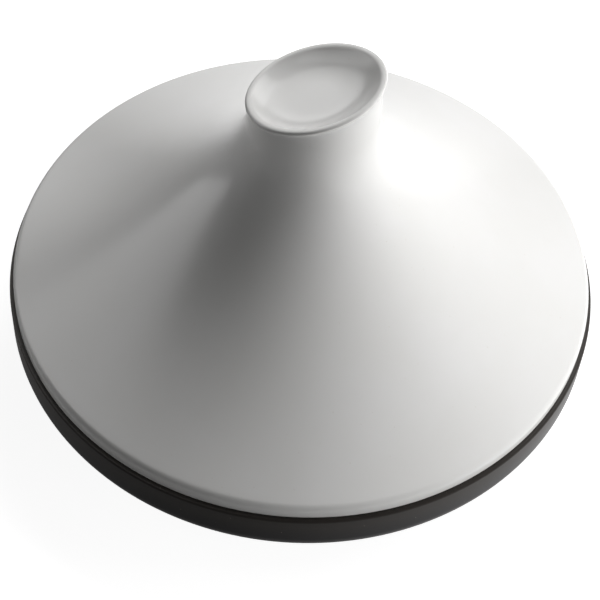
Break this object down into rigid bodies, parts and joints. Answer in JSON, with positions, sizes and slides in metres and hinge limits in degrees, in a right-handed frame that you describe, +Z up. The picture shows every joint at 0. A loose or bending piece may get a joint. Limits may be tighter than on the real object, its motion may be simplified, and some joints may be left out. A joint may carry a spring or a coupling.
{
  "type": "tagine",
  "caption": "Round ceramic tagine: a shallow dark glazed base and a white glazed conical lid with a hollow flank, rising to a slanted, dished knob, for slow stewing.",
  "frame": {"origin": "centre of the base's foot ring, on the surface that the tagine stands on", "axes": "+Z up along the axis of the base and lid, -Y towards the pictured front, +X to the right seen from the front"},
  "size_m": [0.325, 0.325, 0.2139],
  "materials": {
    "black_glaze": "dark charcoal glaze, satin gloss",
    "white_glaze": "white glaze, high gloss"
  },
  "bodies": {
    "base": {"base_dish": "black_glaze"},
    "lid": {"conical_lid": "white_glaze"}
  },
  "joints": [
    {"name": "lid_lift", "type": "slide", "parent": "base", "child": "lid", "axis": [0, 0, 1], "range_m": [0, 0.25]}
  ]
}
